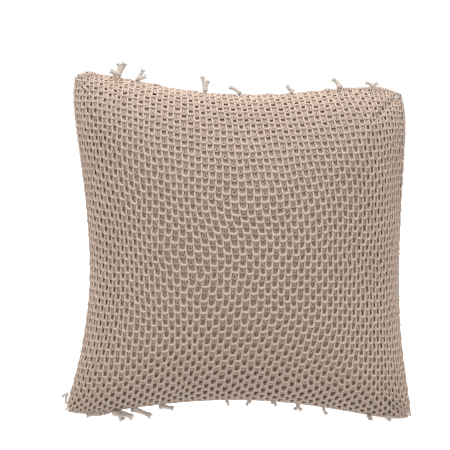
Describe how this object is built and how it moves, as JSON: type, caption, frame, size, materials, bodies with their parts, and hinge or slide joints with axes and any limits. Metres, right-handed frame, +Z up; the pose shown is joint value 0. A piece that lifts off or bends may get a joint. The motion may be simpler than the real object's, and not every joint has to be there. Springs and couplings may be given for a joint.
{
  "type": "throw pillow",
  "caption": "Square throw pillow: open seed-stitch knitted cotton cover with knotted yarn ends along its top and bottom seams, lined, zipped at the back, with a fibre-filled insert.",
  "frame": {"origin": "bottom centre of the pillow standing upright: in the seam's plane, halfway between its left and right ends, on the surface it stands on", "axes": "+Z up, +X to the right seen from the front, +Y from the front face to the back face"},
  "size_m": [0.4474, 0.15, 0.4565],
  "materials": {
    "yarn": "matt spun cotton, plied",
    "seam_yarn": "matt spun cotton, whip-stitched",
    "lining_cotton": "matt plain weave",
    "zip_tape": "woven tape",
    "zip_coil": "satin nylon",
    "zip_stop": "pressed, nickel plated",
    "zip_metal": "cast, nickel plated",
    "insert_cotton": "matt cotton cambric",
    "fibre": "hollow polyester fibre",
    "label_cotton": "blank woven tape"
  },
  "bodies": {
    "cover": {"back_knit_lower": "yarn", "back_knit_upper": "yarn", "back_lining_lower": "lining_cotton", "back_lining_upper": "lining_cotton", "bottom_knot_1": "yarn", "bottom_knot_10": "yarn", "bottom_knot_11": "yarn", "bottom_knot_2": "yarn", "bottom_knot_3": "yarn", "bottom_knot_4": "yarn", "bottom_knot_5": "yarn", "bottom_knot_6": "yarn", "bottom_knot_7": "yarn", "bottom_knot_8": "yarn", "bottom_knot_9": "yarn", "bottom_seam": "seam_yarn", "care_label": "label_cotton", "corner_knot_1": "yarn", "fibre_filling": "fibre", "front_knit_panel": "yarn", "front_lining": "lining_cotton", "insert_back_panel": "insert_cotton", "insert_edge_seam": "insert_cotton", "insert_front_panel": "insert_cotton", "left_seam": "seam_yarn", "right_seam": "seam_yarn", "top_knot_1": "yarn", "top_knot_2": "yarn", "top_knot_3": "yarn", "top_knot_4": "yarn", "top_knot_5": "yarn", "top_knot_6": "yarn", "top_knot_7": "yarn", "top_seam": "seam_yarn", "zip_bottom_stop": "zip_stop", "zip_coil_lower": "zip_coil", "zip_coil_upper": "zip_coil", "zip_tape_lower": "zip_tape", "zip_tape_upper": "zip_tape", "zip_top_stops": "zip_stop"},
    "zip_slider": {"zip_slider": "zip_metal"},
    "zip_pull": {"zip_pull": "zip_metal"}
  },
  "joints": [
    {"name": "zip_travel", "type": "slide", "parent": "cover", "child": "zip_slider", "axis": [1, 0, 0], "range_m": [0, 0.306]},
    {"name": "pull_swing", "type": "hinge", "parent": "zip_slider", "child": "zip_pull", "pos_m": [-0.1535, 0.05699, 0.06946], "axis": [0, 0.454, 0.891], "range_deg": [0, 180]}
  ]
}
